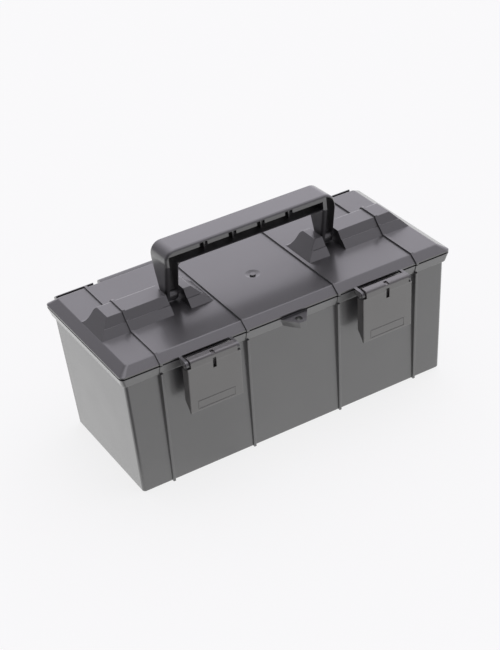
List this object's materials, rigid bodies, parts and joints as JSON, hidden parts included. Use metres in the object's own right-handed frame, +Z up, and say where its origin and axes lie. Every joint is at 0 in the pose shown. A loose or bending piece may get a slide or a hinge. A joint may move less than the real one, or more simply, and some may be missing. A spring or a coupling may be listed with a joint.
{
  "type": "toolbox with tray",
  "caption": "Moulded plastic toolbox with a hinged lid, folding carry handle, front latches and a lift-out tray.",
  "frame": {"origin": "middle of the tub's flat underside", "axes": "+X along the length to the right of someone facing the latches, +Y to the hinge, +Z up"},
  "size_m": [0.404, 0.204, 0.2291],
  "materials": {
    "body_plastic": "satin dark grey moulded polypropylene",
    "handle_plastic": "satin dark grey moulded polypropylene",
    "latch_plastic": "satin dark grey moulded polypropylene",
    "tray_plastic": "satin dark grey moulded polypropylene",
    "pin_steel": "drawn steel wire"
  },
  "bodies": {
    "tub": {"tub": "body_plastic", "hinge_pin_left": "pin_steel", "hinge_pin_right": "pin_steel"},
    "lid": {"lid": "body_plastic", "handle_pin_left": "pin_steel", "handle_pin_right": "pin_steel", "latch_pin_left": "pin_steel", "latch_pin_right": "pin_steel"},
    "handle": {"handle": "handle_plastic"},
    "latch_left": {"latch_left": "latch_plastic"},
    "latch_right": {"latch_right": "latch_plastic"},
    "tray": {"tray": "tray_plastic"}
  },
  "joints": [
    {"name": "lid_hinge", "type": "hinge", "parent": "tub", "child": "lid", "pos_m": [0, 0.0905, 0.1545], "axis": [-1, 0, 0], "range_deg": [0, 105]},
    {"name": "handle_fold", "type": "hinge", "parent": "lid", "child": "handle", "pos_m": [0, -0.0011, 0.1705], "axis": [1, 0, 0], "range_deg": [-72.5, 77.5]},
    {"name": "latch_left_swing", "type": "hinge", "parent": "lid", "child": "latch_left", "pos_m": [-0.106, -0.102, 0.151], "axis": [-1, 0, 0], "range_deg": [0, 115]},
    {"name": "latch_right_swing", "type": "hinge", "parent": "lid", "child": "latch_right", "pos_m": [0.106, -0.102, 0.151], "axis": [-1, 0, 0], "range_deg": [0, 115]},
    {"name": "tray_lift", "type": "slide", "parent": "tub", "child": "tray", "axis": [0, 0, 1], "range_m": [0, 0.055]}
  ],
  "couplings": [
    {"joint": "tray_lift", "follows": "lid_hinge", "m_per_rad": 0.03}
  ]
}
